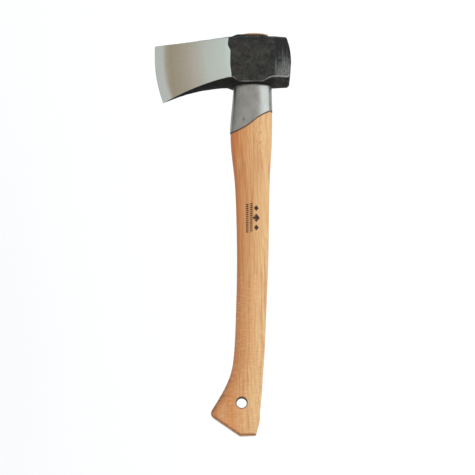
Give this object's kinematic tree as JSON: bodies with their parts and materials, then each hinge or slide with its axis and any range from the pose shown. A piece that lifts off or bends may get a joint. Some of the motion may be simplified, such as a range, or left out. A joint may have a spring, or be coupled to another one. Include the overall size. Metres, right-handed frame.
{
  "type": "splitting hatchet",
  "caption": "Forged splitting hatchet: wedge blade and square hammer poll on a curved wooden handle with a steel collar and a hang hole.",
  "frame": {"origin": "middle of the hang hole, on the hatchet's plane of symmetry", "axes": "+X from the cutting edge to the poll, +Y up the handle to the head, +Z out of the side that faces up when it lies down"},
  "size_m": [0.1695, 0.4967, 0.042],
  "materials": {
    "forged_steel": "forge scale, ground bright on the blade",
    "hickory": "oiled, fine long grain",
    "sheet_steel": "satin",
    "wedge_wood": "dry end grain",
    "staple_steel": "plain"
  },
  "bodies": {
    "root": {"axe_head": "forged_steel", "handle": "hickory", "collar": "sheet_steel", "wood_wedge": "wedge_wood", "wedge_staple": "staple_steel"}
  },
  "joints": []
}
